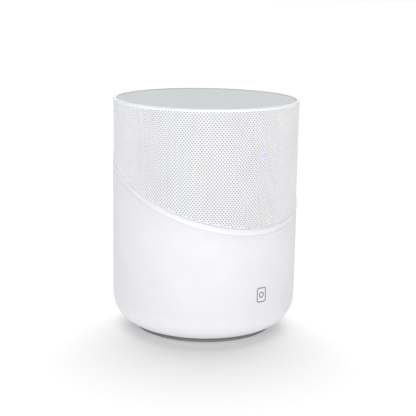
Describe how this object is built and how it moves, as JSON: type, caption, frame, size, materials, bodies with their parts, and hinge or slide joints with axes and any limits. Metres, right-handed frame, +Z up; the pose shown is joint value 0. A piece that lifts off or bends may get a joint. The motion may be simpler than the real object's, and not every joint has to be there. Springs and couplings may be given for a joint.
{
  "type": "smart speaker",
  "caption": "Round tabletop smart speaker: a rounded cup-shaped cabinet, a perforated grille above a slanted line, a recessed touch top and a rear connector bay.",
  "frame": {"origin": "centre of the foot ring's footprint, on the surface the speaker stands on", "axes": "+Z up; the front, with the badge and status light, faces -Y; the connector bay faces +Y; +X is to the right when seen from the front"},
  "size_m": [0.156, 0.156, 0.194],
  "materials": {
    "cabinet_plastic": "satin",
    "trim_plastic": "satin",
    "grille_metal": "satin",
    "acoustic_cloth": "woven",
    "frame_plastic": "moulded",
    "touch_panel": "fine matt",
    "badge_metal": "satin",
    "foot_rubber": "matt",
    "bay_plastic": "spark-eroded",
    "connector_plastic": "moulded",
    "connector_shell": "tinned",
    "contact_metal": "nickel plated",
    "contact_gold": "gold plated",
    "button_plastic": "satin",
    "screw_steel": "zinc plated",
    "circuit_board": "solder mask",
    "chip_black": "moulded",
    "transformer_core": "varnished",
    "capacitor_sleeve": "sleeved",
    "heatsink_aluminium": "extruded",
    "post_brass": "turned",
    "inner_plastic": "moulded",
    "seal_rubber": "matt",
    "basket_metal": "powder coated",
    "motor_steel": "zinc plated",
    "ferrite": "ground",
    "cone_paper": "pressed fibre",
    "coil_copper": "wound",
    "spider_cloth": "woven",
    "dome_silk": "coated",
    "wire_sleeve": "satin",
    "light_pipe_clear": "frosted"
  },
  "bodies": {
    "body": {"foot_ring": "foot_rubber", "base_plate": "cabinet_plastic", "base_screws": "screw_steel", "lower_housing": "cabinet_plastic", "slant_trim": "trim_plastic", "grille_sleeve": "grille_metal", "grille_liner": "acoustic_cloth", "grille_frame": "frame_plastic", "top_rim": "trim_plastic", "top_panel": "touch_panel", "badge": "badge_metal", "io_panel": "bay_plastic", "mains_inlet": "connector_plastic", "mains_pins": "contact_metal", "ethernet_jack": "connector_shell", "ethernet_contacts": "contact_gold", "usb_port": "connector_shell", "usb_tongue": "connector_plastic", "audio_jack": "connector_plastic", "service_switch": "connector_plastic", "power_board": "circuit_board", "power_transformer": "transformer_core", "power_capacitors": "capacitor_sleeve", "power_filter": "transformer_core", "main_board": "circuit_board", "main_board_chips": "chip_black", "amplifier_heatsink": "heatsink_aluminium", "board_posts": "post_brass", "board_screws": "screw_steel", "woofer_baffle": "inner_plastic", "baffle_seal": "seal_rubber", "baffle_screws": "screw_steel", "woofer_basket": "basket_metal", "woofer_top_plate": "motor_steel", "woofer_magnet": "ferrite", "woofer_yoke": "motor_steel", "woofer_gasket": "seal_rubber", "woofer_screws": "screw_steel", "woofer_surround": "seal_rubber", "woofer_spider": "spider_cloth", "woofer_leads": "wire_sleeve", "acoustic_reflector": "inner_plastic", "tweeter_chassis": "inner_plastic", "left_tweeter": "motor_steel", "right_tweeter": "motor_steel", "top_deck": "frame_plastic", "touch_board": "circuit_board", "microphones": "contact_gold", "upper_screws": "screw_steel", "indicator_board": "circuit_board", "light_pipe": "light_pipe_clear", "wifi_antennas": "circuit_board", "harness_grommet": "seal_rubber", "wiring_harness": "wire_sleeve"},
    "woofer_moving": {"woofer_cone": "cone_paper", "woofer_dust_cap": "cone_paper", "woofer_voice_coil": "coil_copper"},
    "left_dome": {"left_tweeter_dome": "dome_silk"},
    "right_dome": {"right_tweeter_dome": "dome_silk"},
    "service_button": {"service_button": "button_plastic"}
  },
  "joints": [
    {"name": "woofer_stroke", "type": "slide", "parent": "body", "child": "woofer_moving", "axis": [0, 0, 1], "range_m": [-0.005, 0.005], "stiffness_N_per_m": 1100, "deforming": ["woofer_surround", "woofer_spider"]},
    {"name": "left_tweeter_stroke", "type": "slide", "parent": "body", "child": "left_dome", "axis": [-0.6157, -0.788, 0], "range_m": [-0.0003, 0.0003], "stiffness_N_per_m": 500},
    {"name": "right_tweeter_stroke", "type": "slide", "parent": "body", "child": "right_dome", "axis": [0.6157, -0.788, 0], "range_m": [-0.0003, 0.0003], "stiffness_N_per_m": 500},
    {"name": "service_button_press", "type": "slide", "parent": "body", "child": "service_button", "axis": [0, -1, 0], "range_m": [0, 0.0008], "stiffness_N_per_m": 900, "springref_m": -0.0008}
  ]
}
